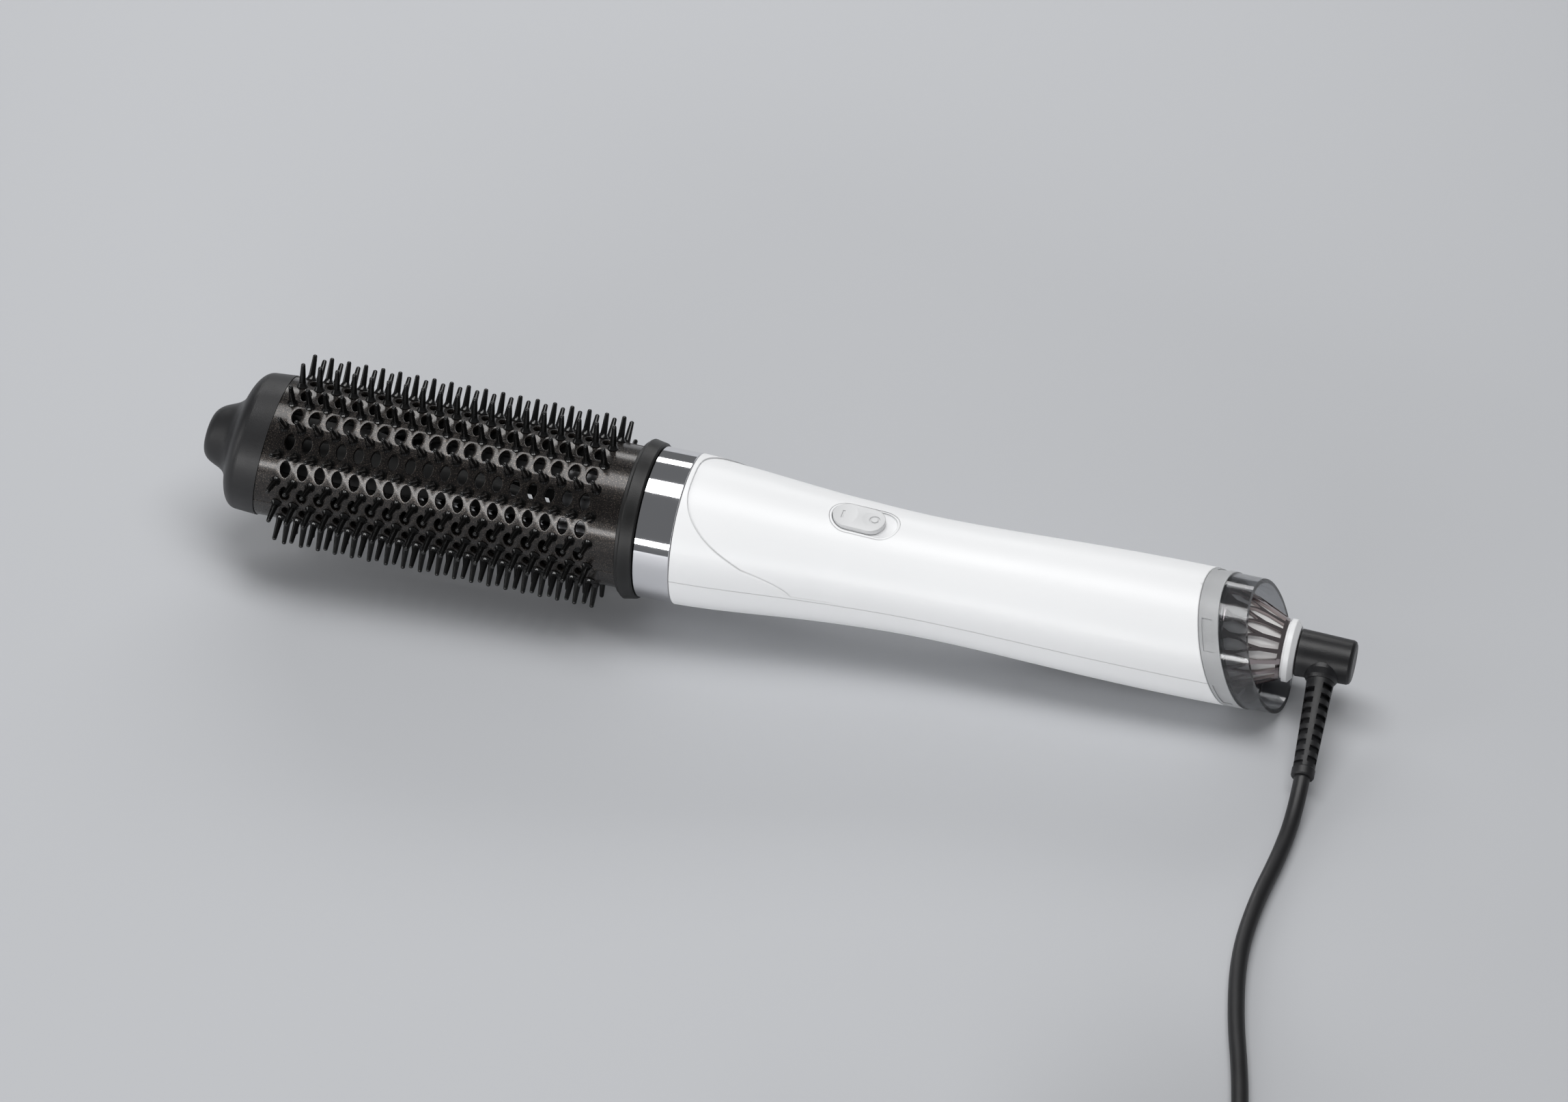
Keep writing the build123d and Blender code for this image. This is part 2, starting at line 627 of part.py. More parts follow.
LEAD_ROUTE = [
    (199.04, -43.7, 7.6),
    (199.4, -57.0, 3.3),
    (198.2, -76.0, 2.9),
    (195.0, -98.0, 2.9),
    (194.4, -122.0, 2.9),
    (199.0, -148.0, 2.9),
    (206.2, -173.0, 2.9),
    (211.0, -196.0, 3.0),
    (212.6, -218.0, 3.6),
    (212.6, -238.0, 3.85),
]

# The free end leaves the top of the coil and runs on beside it to the plug.
TAIL_ROUTE = [
    (174.0, -294.6, 20.6),
    (159.0, -295.6, 19.8),
    (143.0, -299.6, 16.6),
    (127.0, -302.4, 13.2),
    (112.0, -302.8, 12.2),
]
PLUG_BACK = (112.0, -302.8, 12.2)
PLUG_L = 34.0
PLUG_W = 36.0
PLUG_T = 24.0
PLUG_PIN_R = 2.4
PLUG_PIN_L = 19.0
PLUG_STEM_R = 1.8            # narrower root of each pin, held in the moulding
PLUG_STEM_IN = 7.5
PLUG_STEM_OUT = 1.0
PLUG_PIN_GAP = 19.0


def route_radii(points):
    """Radius of the arc at each corner: 0.45 of its shorter run over tan of half the turn."""
    radii = []
    for a, b, c in zip(points, points[1:], points[2:]):
        turn = math.radians((b - a).get_angle(c - b))
        radii.append(0.45 * min((b - a).length, (c - b).length) / math.tan(turn / 2))
    return radii


def cord_tube(points, label):
    """Round tube along a route of straight runs joined by tangent arcs."""
    corners = [Vector(*p) for p in points]
    radii = route_radii(corners)
    path = FilletPolyline(*corners, radius=radii)
    solid = sweep(Plane(path @ 0, z_dir=path % 0) * Circle(CORD_D / 2), path)
    ideal = math.pi * CORD_D ** 2 / 4 * path.length
    print(label, "length", round(path.length, 1), "volume ratio", round(solid.volume / ideal, 4),
          "radii", [round(r, 1) for r in radii])
    return solid


def cord_coil():
    """Outer shape of the wound length of cord."""
    middle = COIL_FLOOR + CORD_D * COIL_UP / 2
    height = CORD_D * COIL_UP
    ring = Cylinder(COIL_OUT_R, height) - Cylinder(COIL_IN_R, height + 2)
    return Pos(*COIL_CENTRE, middle) * ring


def cord_tie():
    """Strap round one place of the coil."""
    x, y = COIL_CENTRE
    wide = 6.0
    hole = block((x - 10, x + 10), (y + COIL_IN_R - 1.0, y + COIL_OUT_R + 0.1),
                 (COIL_FLOOR - 0.1, COIL_TOP + 0.1))
    band = block((x - wide, x + wide), (y + COIL_IN_R - 1.8, y + COIL_OUT_R + 0.9),
                 (0.1, COIL_TOP + 0.9))
    return band - hole


def plug_plane(distance):
    """Plane across the plug, this far ahead of its back, with Z along the pins."""
    x, y, z = PLUG_BACK
    return Plane(origin=(x - distance, y, z), x_dir=(0, 1, 0), z_dir=(-1, 0, 0))


def plug_body():
    """Moulded two-pin plug with its own short strain relief."""
    relief = Solid.make_cone(3.9, 5.0, 10.0, plug_plane(0))
    sections = [(9.5, 13.0, 12.4), (20.0, 26.0, 20.0), (30.0, PLUG_W, PLUG_T)]
    outlines = [plug_plane(d) * SlotOverall(w, t) for d, w, t in sections]
    grip = loft(outlines)
    face = extrude(plug_plane(30.0) * SlotOverall(PLUG_W, PLUG_T), PLUG_L + 6 - 30)
    body = grip.fuse(relief, face)
    bores = [plug_plane(PLUG_L + 6 - 8) * Pos(s * PLUG_PIN_GAP / 2, 0, 4.5) *
             Cylinder(PLUG_STEM_R + 0.02, 9) for s in (-1, 1)]
    return body - bores


def plug_pins():
    """Two round contact pins of the plug, each on a narrower stem that holds it."""
    stem_l = PLUG_STEM_IN + PLUG_STEM_OUT
    pin_l = PLUG_PIN_L - PLUG_STEM_OUT
    root = plug_plane(PLUG_L + 6 - PLUG_STEM_IN)
    pins = []
    for s in (-1, 1):
        pin = Cylinder(PLUG_PIN_R, pin_l)
        pin = chamfer(pin.edges().group_by(Axis.Z)[-1], 0.9)
        stem = Pos(0, 0, stem_l / 2) * Cylinder(PLUG_STEM_R, stem_l)
        whole = stem + Pos(0, 0, stem_l + pin_l / 2) * pin
        pins.append(root * Pos(s * PLUG_PIN_GAP / 2, 0, 0) * whole)
    return Compound(children=pins)


# ---- build --------------------------------------------------------------------------
BRUSH = [nose_cap, barrel_end_plate, air_deflector, barrel, barrel_heater_ring,
         barrel_thermistor, collar_ring, chrome_ring, heater_housing, heater_frame,
         heater_coils, thermal_cutout, handle_upper_shell, handle_lower_shell, shell_screws,
         rating_plate, switch_bezel, switch_slider, slide_switch, control_board,
         board_components, power_wires, motor_housing, motor_mounts, fan_motor, motor_shaft,
         impeller, filter_ring, filter_cup, inlet_grille, inlet_screen, end_disc,
         contact_block, contact_springs, swivel_elbow, swivel_retainer]


def main():
    os.makedirs("parts", exist_ok=True)
    pieces = {make.__name__: make() for make in BRUSH}
    strip = bristle_strip()
    for i in range(ROWS):
        pieces[f"bristle_strip_{i + 1:02d}"] = spun(strip, elevation(FIRST_ROW + ROW_STEP * i))
    place = resting_place(list(pieces.values()))
    pieces["strain_relief"] = strain_relief()
    for name, piece in pieces.items():
        export_step(place * piece, f"parts/{name}.step")
    exit_point = place * Vertex(*relief_plane().from_local_coords(Vector(0, 0, RELIEF_L)))
    print("lean", round(rest_tilt(), 3), "place", place.position, "cord exit", exit_point.center())
    loose = {
        "cord_lead": cord_tube(LEAD_ROUTE, "lead"),
        "cord_coil": cord_coil(),
        "cord_tail": cord_tube(TAIL_ROUTE, "tail"),
        "cord_tie": cord_tie(),
        "plug_body": plug_body(),
        "plug_pins": plug_pins(),
    }
    for name, piece in loose.items():
        export_step(piece, f"parts/{name}.step")


if __name__ == "__main__":
    main()
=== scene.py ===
import json
import math

import bmesh
import bpy
from mathutils import Matrix, Vector


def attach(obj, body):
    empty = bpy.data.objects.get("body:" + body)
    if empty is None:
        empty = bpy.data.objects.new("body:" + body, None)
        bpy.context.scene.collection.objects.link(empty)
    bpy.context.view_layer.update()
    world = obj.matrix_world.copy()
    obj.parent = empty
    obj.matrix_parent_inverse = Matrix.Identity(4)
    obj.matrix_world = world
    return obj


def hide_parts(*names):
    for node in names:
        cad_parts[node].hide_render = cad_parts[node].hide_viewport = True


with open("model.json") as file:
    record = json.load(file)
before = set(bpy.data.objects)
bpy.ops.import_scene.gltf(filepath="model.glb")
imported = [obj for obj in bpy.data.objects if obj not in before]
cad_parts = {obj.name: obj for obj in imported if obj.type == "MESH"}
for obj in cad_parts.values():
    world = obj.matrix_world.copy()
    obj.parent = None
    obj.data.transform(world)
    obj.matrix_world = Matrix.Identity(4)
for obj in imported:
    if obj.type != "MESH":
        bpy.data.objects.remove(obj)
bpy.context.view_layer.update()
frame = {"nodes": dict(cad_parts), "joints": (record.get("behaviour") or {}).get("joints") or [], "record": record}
MM = 0.001                           # metres in a millimetre

# The brush lies with its barrel's axis leaning down to the tail. AXIS is that line: X = 0
# of the straight brush is the front face of the handle, and lengths are in millimetres.
SWIVEL = next(joint for joint in frame["joints"] if joint["name"] == "cord_swivel")
AXIS = Vector(SWIVEL["axis"]).normalized()
CORD_EXIT_X = 226.4                  # station on that line where the lead branches off
ORIGIN = Vector(SWIVEL["pos_m"]) - AXIS * CORD_EXIT_X * MM
LEAN = math.atan2(-AXIS.z, AXIS.x)
STRAIGHT = Matrix.Translation(ORIGIN) @ Matrix.Rotation(LEAN, 4, "Y")


# ---- camera and light ---------------------------------------------------------------
CAMERA_AT = (0.4317, -1.2894, 1.3688)
CAMERA_TURN = 18.3                   # degrees, from looking along +Y towards -X
CAMERA_DOWN = 44.6
CAMERA_ROLL = -3.55
CAMERA_LENS = 125.5
CAMERA_SENSOR = 36.0
SKY_COLOUR = (0.9, 0.92, 0.95)
SKY_STRENGTH = 0.16
FLOOR_SIZE = 6.0
# Soft boxes: name, place, target, size along and across, power in watts.
SOFT_BOXES = [
    ("front_strip", (-0.25, -1.15, 0.30), (-0.02, 0, 0.03), (1.5, 0.16), 8),
    ("overhead", (0.05, 0.10, 1.25), (0, -0.05, 0), (1.3, 0.45), 11),
    ("back_strip", (-0.30, 0.95, 0.55), (0, 0, 0.03), (1.2, 0.22), 4),
    ("left_side", (-1.1, -0.3, 0.45), (-0.15, 0, 0.03), (0.35, 0.8), 2),
]


def make_camera():
    """Long lens that looks down on the brush from in front."""
    camera = bpy.data.objects.new("camera", bpy.data.cameras.new("camera"))
    camera.data.sensor_width = CAMERA_SENSOR
    camera.data.lens = CAMERA_LENS
    turn = Matrix.Rotation(math.radians(CAMERA_TURN), 4, "Z")
    down = Matrix.Rotation(math.radians(90 - CAMERA_DOWN), 4, "X")
    roll = Matrix.Rotation(math.radians(CAMERA_ROLL), 4, "Z")
    camera.matrix_world = Matrix.Translation(CAMERA_AT) @ turn @ down @ roll
    bpy.context.scene.collection.objects.link(camera)
    bpy.context.scene.camera = camera


def area_light(name, place, target, size, power):
    """White soft box at place that faces the target."""
    data = bpy.data.lights.new(name, "AREA")
    data.shape = "RECTANGLE"
    data.size, data.size_y = size
    data.energy = power
    light = bpy.data.objects.new(name, data)
    light.location = place
    direction = Vector(target) - Vector(place)
    light.rotation_mode = "QUATERNION"
    light.rotation_quaternion = direction.to_track_quat("-Z", "Y")
    bpy.context.scene.collection.objects.link(light)


def make_studio():
    """Grey floor, a dim sky, and soft boxes in front, overhead, behind and at the left."""
    world = bpy.data.worlds.new("studio")
    world.use_nodes = True
    sky = world.node_tree.nodes["Background"]
    sky.inputs["Color"].default_value = (*SKY_COLOUR, 1)
    sky.inputs["Strength"].default_value = SKY_STRENGTH
    bpy.context.scene.world = world
    bpy.context.scene.view_settings.view_transform = "Standard"
    for box in SOFT_BOXES:
        area_light(*box)
    bpy.ops.mesh.primitive_plane_add(size=FLOOR_SIZE, location=(0, 0, 0))
    floor = bpy.context.object
    floor.name = "floor"
    material, shader = new_material("floor_paper", (0.50, 0.51, 0.53), 0.6)
    grain(material, shader, scale=900.0, strength=0.04, distance=0.0003)
    floor.data.materials.append(material)


# ---- materials ----------------------------------------------------------------------
NOISE_ROUGHNESS = 0.6
NOISE_LOW, NOISE_HIGH = 0.3, 0.7     # noise values that the gloss runs between
EDGE_LOW, EDGE_HIGH = 0.52, 0.60     # pointiness where wear starts and is full
WEAR_COLOUR = (0.25, 0.25, 0.25)     # added to the base colour there
WEAR = 0.05                          # part of it that handled plastic gets
BEVEL_SAMPLES = 6


def new_material(name, colour, roughness, metallic=0.0, **sockets):
    """Material with these values; sockets are named with _ for each space."""
    material = bpy.data.materials.new(name)
    material.use_nodes = True
    shader = material.node_tree.nodes["Principled BSDF"]
    shader.inputs["Base Color"].default_value = (*colour, 1)
    shader.inputs["Roughness"].default_value = roughness
    shader.inputs["Metallic"].default_value = metallic
    for key, value in sockets.items():
        shader.inputs[key.replace("_", " ")].default_value = value
    return material, shader


def coordinates(material):
    """Object coordinates in metres, the same in every view."""
    found = material.node_tree.nodes.get("place")
    if found is None:
        found = material.node_tree.nodes.new("ShaderNodeTexCoord")
        found.name = "place"
    return found.outputs["Object"]


def noise(material, scale, detail=3.0):
    """Noise with about scale lumps in a metre."""
    node = material.node_tree.nodes.new("ShaderNodeTexNoise")
    node.inputs["Scale"].default_value = scale
    node.inputs["Detail"].default_value = detail
    node.inputs["Roughness"].default_value = NOISE_ROUGHNESS
    material.node_tree.links.new(coordinates(material), node.inputs["Vector"])
    return node


def remap(material, source, low, high, out_low, out_high):
    """Value of source from low..high carried to out_low..out_high."""
    node = material.node_tree.nodes.new("ShaderNodeMapRange")
    for name, value in (("From Min", low), ("From Max", high),
                        ("To Min", out_low), ("To Max", out_high)):
        node.inputs[name].default_value = value
    material.node_tree.links.new(source, node.inputs["Value"])
    return node.outputs["Result"]


def bump(material, shader, height, strength, distance):
    """Adds relief of this distance in metres on top of any that is there."""
    node = material.node_tree.nodes.new("ShaderNodeBump")
    node.inputs["Strength"].default_value = strength
    node.inputs["Distance"].default_value = distance
    links = material.node_tree.links
    if shader.inputs["Normal"].is_linked:
        links.new(shader.inputs["Normal"].links[0].from_socket, node.inputs["Normal"])
    links.new(height, node.inputs["Height"])
    links.new(node.outputs["Normal"], shader.inputs["Normal"])


def grain(material, shader, scale, strength, distance, detail=3.0):
    """Fine moulded or paper grain in the surface."""
    bump(material, shader, noise(material, scale, detail).outputs["Fac"], strength, distance)


def vary_roughness(material, shader, scale, low, high):
    """Roughness that wanders from low to high."""
    source = noise(material, scale, 4.0).outputs["Fac"]
    result = remap(material, source, NOISE_LOW, NOISE_HIGH, low, high)
    material.node_tree.links.new(result, shader.inputs["Roughness"])


def vary_colour(material, shader, source, dark, light):
    """Base colour that runs from dark to light with the source."""
    ramp = material.node_tree.nodes.new("ShaderNodeValToRGB")
    ramp.color_ramp.elements[0].color = (*dark, 1)
    ramp.color_ramp.elements[1].color = (*light, 1)
    material.node_tree.links.new(source, ramp.inputs["Fac"])
    material.node_tree.links.new(ramp.outputs["Color"], shader.inputs["Base Color"])


def worn_edges(material, shader, amount):
    """Lightens the outer edges a little, as handling does."""
    geometry = material.node_tree.nodes.new("ShaderNodeNewGeometry")
    edge = remap(material, geometry.outputs["Pointiness"], EDGE_LOW, EDGE_HIGH, 0.0, amount)
    mix = material.node_tree.nodes.new("ShaderNodeMixRGB")
    mix.blend_type = "ADD"
    mix.inputs["Color2"].default_value = (*WEAR_COLOUR, 1)
    links = material.node_tree.links
    links.new(edge, mix.inputs["Fac"])
    links.new(shader.inputs["Base Color"].links[0].from_socket, mix.inputs["Color1"])
    links.new(mix.outputs["Color"], shader.inputs["Base Color"])


def moulded(name, colour, roughness, grain_size, grain_depth, spread=0.06, mottle=0.25):
    """Moulded plastic or rubber: grain of this size in metres, uneven gloss, soft mottling."""
    material, shader = new_material(name, colour, roughness, Specular_IOR_Level=0.4)
    grain(material, shader, 1.0 / grain_size, 0.5, grain_depth, detail=2.0)
    vary_roughness(material, shader, 55.0, roughness - spread, roughness + spread)
    dark = tuple(c * (1 - mottle) for c in colour)
    light = tuple(min(1.0, c * (1 + mottle)) for c in colour)
    vary_colour(material, shader, noise(material, 160.0, 5.0).outputs["Fac"], dark, light)
    worn_edges(material, shader, WEAR)
    return material


def soften_edges(material, shader, radius):
    """Rounds the shading of sharp edges by this radius in metres."""
    node = material.node_tree.nodes.new("ShaderNodeBevel")
    node.samples = BEVEL_SAMPLES
    node.inputs["Radius"].default_value = radius
    first = shader.inputs["Normal"].links[0].from_node
    material.node_tree.links.new(node.outputs["Normal"], first.inputs["Normal"])


def white_plastic(name, tint=(0.88, 0.885, 0.89)):
    """White handle plastic: bright, satin gloss, with a faint orange peel."""
    material, shader = new_material(name, tint, 0.38, Specular_IOR_Level=0.45)
    grain(material, shader, 420.0, 0.10, 0.00012)
    vary_roughness(material, shader, 30.0, 0.36, 0.42)
    vary_colour(material, shader, noise(material, 14.0, 3.0).outputs["Fac"],
                tuple(c * 0.985 for c in tint), tint)
    soften_edges(material, shader, 0.0006)
    return material


def metal(name, colour, low, high, scale, streak=(1, 1, 1)):
    """Metal with uneven gloss, in streaks along the axis whose streak value is least."""
    material, shader = new_material(name, colour, low, 1.0)
    mapping = material.node_tree.nodes.new("ShaderNodeMapping")
    mapping.inputs["Scale"].default_value = streak
    source = noise(material, scale, 4.0)
    links = material.node_tree.links
    links.new(coordinates(material), mapping.inputs["Vector"])
    links.new(mapping.outputs["Vector"], source.inputs["Vector"])
    gloss = remap(material, source.outputs["Fac"], NOISE_LOW, NOISE_HIGH, low, high)
    links.new(gloss, shader.inputs["Roughness"])
    bump(material, shader, source.outputs["Fac"], 0.05, 0.00005)
    return material


def barrel_coating():
    """Near-black bronze coating with fine bright flakes."""
    material, shader = new_material("barrel_coating", (0.014, 0.012, 0.011), 0.28, 0.7,
                                    Coat_Weight=0.5, Coat_Roughness=0.14)
    cells = material.node_tree.nodes.new("ShaderNodeTexVoronoi")
    cells.inputs["Scale"].default_value = 5200.0
    links = material.node_tree.links
    links.new(coordinates(material), cells.inputs["Vector"])
    flake = material.node_tree.nodes.new("ShaderNodeSeparateColor")
    links.new(cells.outputs["Color"], flake.inputs["Color"])
    bright = remap(material, flake.outputs["Red"], 0.82, 1.0, 0.0, 1.0)
    vary_colour(material, shader, bright, (0.012, 0.010, 0.009), (0.12, 0.098, 0.082))
    gloss = remap(material, flake.outputs["Green"], 0.0, 1.0, 0.20, 0.38)
    links.new(gloss, shader.inputs["Roughness"])
    bump(material, shader, flake.outputs["Blue"], 0.25, 0.00004)
    return material


def clear_plastic(name, colour, roughness, transmission, scale):
    """Clear, frosted or smoked plastic with faint flow marks."""
    material, shader = new_material(name, colour, roughness, IOR=1.49,
                                    Transmission_Weight=transmission)
    grain(material, shader, scale, 0.15, 0.0001)
    vary_roughness(material, shader, 80.0, roughness * 0.8, roughness * 1.3)
    vary_colour(material, shader, noise(material, 45.0, 4.0).outputs["Fac"],
                tuple(c * 0.86 for c in colour), colour)
    return material


def woven(name, colour):
    """Woven strap: fine ribs across and along."""
    material, shader = new_material(name, colour, 0.8, Sheen_Weight=0.3)
    for direction in ("X", "Z"):
        wave = material.node_tree.nodes.new("ShaderNodeTexWave")
        wave.bands_direction = direction
        wave.inputs["Scale"].default_value = 500.0
        material.node_tree.links.new(coordinates(material), wave.inputs["Vector"])
        bump(material, shader, wave.outputs["Fac"], 0.5, 0.00012)
    return material


def make_materials():
    """One material for each slot of the record."""
    return {
        "nose": moulded("nose_plastic", (0.012, 0.012, 0.013), 0.42, 0.00035, 0.00010),
        "collar": moulded("collar_plastic", (0.006, 0.006, 0.006), 0.44, 0.00035, 0.00008),
        "elbow_plastic": moulded("elbow_plastic", (0.008, 0.008, 0.009), 0.38, 0.0004, 0.0001),
        "relief_rubber": moulded("relief_rubber", (0.008, 0.008, 0.009), 0.45, 0.0003, 0.00007),
        "cord_jacket": moulded("cord_jacket", (0.010, 0.010, 0.011), 0.42, 0.0008, 0.00006),
        "bristles": moulded("bristle_nylon", (0.004, 0.004, 0.004), 0.14, 0.0006, 0.00002, 0.03),
        "barrel": barrel_coating(),
        "chrome_trim": metal("polished_ring", (0.80, 0.80, 0.82), 0.035, 0.08, 60.0),
        "bright_grille": metal("plated_grille", (0.40, 0.35, 0.35), 0.06, 0.16, 120.0),
        "steel": metal("plain_steel", (0.56, 0.56, 0.57), 0.25, 0.4, 90.0, (1, 8, 8)),
        "motor_can": metal("motor_can", (0.62, 0.62, 0.64), 0.22, 0.38, 90.0, (10, 1, 1)),
        "heating_wire": metal("heating_wire", (0.5, 0.46, 0.42), 0.35, 0.5, 200.0),
        "brass_contact": metal("brass_contact", (0.8, 0.62, 0.3), 0.15, 0.3, 120.0),
        "plug_metal": metal("plug_metal", (0.75, 0.72, 0.65), 0.12, 0.24, 120.0, (1, 6, 6)),
        "white_shell": white_plastic("handle_white"),
        # Painted shade: the slider is the same white plastic as the handle, and its tint is darkened to light grey
        # to stand in for the shading on it.
        "white_button": white_plastic("button_white_painted_shade", (0.70, 0.705, 0.71)),
        "clear_ring": clear_plastic("frosted_ring", (0.74, 0.75, 0.76), 0.42, 0.45, 500.0),
        "smoked_cup": clear_plastic("smoked_cup", (0.50, 0.51, 0.525), 0.07, 0.97, 400.0),
        "sensor_glass": clear_plastic("sensor_glass", (0.7, 0.55, 0.35), 0.1, 1.0, 500.0),
        "pale_screen": moulded("pearl_screen", (0.88, 0.87, 0.86), 0.22, 0.0005, 0.00004, 0.04,
                               0.03),
        "plate": moulded("plate_foil", (0.7, 0.7, 0.7), 0.35, 0.0006, 0.00003, 0.05, 0.05),
        "nylon": moulded("inner_nylon", (0.03, 0.03, 0.03), 0.5, 0.0005, 0.00008),
        "heater_ceramic": moulded("heater_ceramic", (0.72, 0.69, 0.63), 0.6, 0.0003, 0.00006),
        "mica": moulded("mica_board", (0.5, 0.42, 0.3), 0.4, 0.0012, 0.0001),
        "circuit_board": moulded("circuit_board", (0.02, 0.14, 0.06), 0.35, 0.0009, 0.00005),
        "components": moulded("component_bodies", (0.03, 0.03, 0.03), 0.45, 0.0006, 0.00006),
        "wire_insulation": moulded("wire_silicone", (0.5, 0.06, 0.04), 0.4, 0.0008, 0.00004),
        "mount_rubber": moulded("mount_rubber", (0.03, 0.03, 0.03), 0.7, 0.0005, 0.0001),
        "impeller": moulded("impeller_nylon", (0.12, 0.12, 0.125), 0.4, 0.0004, 0.00006),
        "tie_fabric": woven("strap_weave", (0.02, 0.02, 0.022)),
    }


def paint_nodes(materials):
    """Gives every CAD node the material of its slot."""
    slot_of = {row["node"]: row["material_slot"] for row in frame["record"]["subparts"]}
    for name, node in frame["nodes"].items():
        node.data.materials.clear()
        node.data.materials.append(materials[slot_of[name]])


# ---- cord ---------------------------------------------------------------------------
CORD_D = 5.6
CORD_SMOOTHNESS = 6                  # mesh steps round the cord and between points
COIL_CENTRE = (174.0, -256.0)
COIL_OUTER_R = 38.6                  # of the outer turn of each layer
COIL_FIRST_Z = 3.85
COIL_POINTS = 16                     # points in a turn
COIL_TURNS = 10.25
LEAD_ROUTE = [
    (199.04, -43.7, 7.6),
    (199.4, -57.0, 3.3),
    (198.2, -76.0, 2.9),
    (195.0, -98.0, 2.9),
    (194.4, -122.0, 2.9),
    (199.0, -148.0, 2.9),
    (206.2, -173.0, 2.9),
    (211.0, -196.0, 3.0),
    (212.6, -218.0, 3.6),
    (212.6, -238.0, 3.85),
]
TAIL_ROUTE = [
    (159.0, -295.6, 19.8),
    (143.0, -299.6, 16.6),
    (127.0, -302.4, 13.2),
    (112.0, -302.8, 12.2),
]
LAYERS = 4
LAYER_TURNS = 2.75                   # turns from one layer to the next
STEPS_IN_LAYER = 2                   # times that the cord moves in or out by its width
FIRST_STEP = 0.80                    # turns before the first step sideways
FIRST_CLIMB = 2.70                   # and before the first climb
STEP_SPAN = 0.15                     # part of a turn over which the cord steps sideways
CLIMB_SPAN = 0.10


def eased(value, start, end):
    """0 before start, 1 after end, smooth between."""
    t = min(1.0, max(0.0, (value - start) / (end - start)))
    return t * t * (3 - 2 * t)


def coil_point(turns):
    """Centre of the cord after this many turns of the coil, in millimetres.

    The layers are wound out to in and in to out by turns. Each steps sideways a quarter
    turn earlier than the layer under it, and the cord climbs before it starts the next."""
    radius = COIL_OUTER_R
    height = COIL_FIRST_Z
    for layer in range(LAYERS):
        inward = -1 if layer % 2 == 0 else 1
        for k in range(STEPS_IN_LAYER):
            start = FIRST_STEP + LAYER_TURNS * layer + k
            radius += inward * CORD_D * eased(turns, start, start + STEP_SPAN)
        if layer < LAYERS - 1:
            climb = FIRST_CLIMB + LAYER_TURNS * layer
            height += CORD_D * eased(turns, climb, climb + CLIMB_SPAN)
    radius /= math.cos(math.pi / COIL_POINTS)
    angle = -2 * math.pi * turns
    x, y = COIL_CENTRE
    return (x + radius * math.cos(angle), y + radius * math.sin(angle), height)


def make_cord(material):
    """The whole lead as one smooth tube, from the elbow through the coil to the plug."""
    count = int(COIL_TURNS * COIL_POINTS)
    coil = [coil_point(i / COIL_POINTS) for i in range(count + 1)]
    points = LEAD_ROUTE + coil + TAIL_ROUTE
    curve = bpy.data.curves.new("mains_lead", "CURVE")
    curve.dimensions = "3D"
    curve.bevel_depth = CORD_D / 2 * MM
    curve.bevel_resolution = CORD_SMOOTHNESS
    curve.resolution_u = CORD_SMOOTHNESS
    curve.use_fill_caps = True
    spline = curve.splines.new("NURBS")
    spline.points.add(len(points) - 1)
    for point, place in zip(spline.points, points):
        point.co = (*[c * MM for c in place], 1)
    spline.order_u = 3
    spline.use_endpoint_u = True
    curve.materials.append(material)
    lead = bpy.data.objects.new("mains_lead", curve)
    bpy.context.scene.collection.objects.link(lead)
    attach(lead, "swivel")
    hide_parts("cord_lead", "cord_coil", "cord_tail")
    return lead


# ---- barrel -------------------------------------------------------------------------
BARREL_R = 25.3
BARREL_INNER_R = 23.9
BARREL_FRONT = -152.8                # on the axis; the edge leans like the nose
BARREL_BACK = -14.1
NOSE_LEAN = 8.0                      # degrees
FIRST_PIN = -144.6                   # station of the first bristle of each row
PIN_PITCH = 6.36
VENTS = 18                           # vents in a row
ROWS = 16
ROW_STEP = 360.0 / ROWS
FIRST_ROW = -5.5                     # elevation of a bristle row that lies on a seam
SEAM_ANGLE = 2.2                     # half width of a seam, degrees
SEAM_EDGE = 2.6                      # half width with its slopes
SEAM_DEPTH = 0.18
VENT_HALF = (1.85, 3.1)              # along and round the barrel
VENT_TAPER = 0.22                    # how far the vent narrows towards its points
LIP_SIZES = (1.14, 1.05)             # outer and middle line of the lip, times the vent
LIP_DEPTHS = (0.07, 0.28)            # of its middle line and its foot
SIDE_STEPS = 6                       # mesh steps along a vent cell
ROUND_STEPS = 8                      # and round it
JOIN_DISTANCE = 2e-6                 # metres within which points become one
SHARP_ANGLE = 40                     # degrees above which an edge isn't smoothed


def on_barrel(x, degrees, radius):
    """Point on the barrel at this elevation, in metres, where the brush rests."""
    angle = math.radians(degrees)
    place = Vector((x, -radius * math.cos(angle), radius * math.sin(angle)))
    return STRAIGHT @ (place * MM)


def add_strip(mesh, angles, first, second):
    """One row of quads between two edges, each a (station, radius) pair.

    Both values of a pair are functions of the elevation in degrees."""
    edges = [[mesh.verts.new(on_barrel(station(a), a, radius(a))) for a in angles]
             for station, radius in (first, second)]
    for k in range(len(angles) - 1):
        mesh.faces.new((edges[0][k], edges[0][k + 1], edges[1][k + 1], edges[1][k]))


def always(value):
    """Function of the elevation that is the same all round the barrel."""
    return lambda a: value


def seam_radius(row):
    """Radius of the outer face near a row line; every second line is a sunk seam."""
    depth = SEAM_DEPTH if row % 2 == 0 else 0.0
    centre = FIRST_ROW + ROW_STEP * row
    return lambda a: BARREL_R - (depth if abs(a - centre) < (SEAM_ANGLE + SEAM_EDGE) / 2 else 0)


def line_angles(row):
    """Elevations across a row line, edge to edge, with its seam's sides and middle."""
    centre = FIRST_ROW + ROW_STEP * row
    return [centre + k for k in (-SEAM_EDGE, -SEAM_ANGLE, 0, SEAM_ANGLE, SEAM_EDGE)]


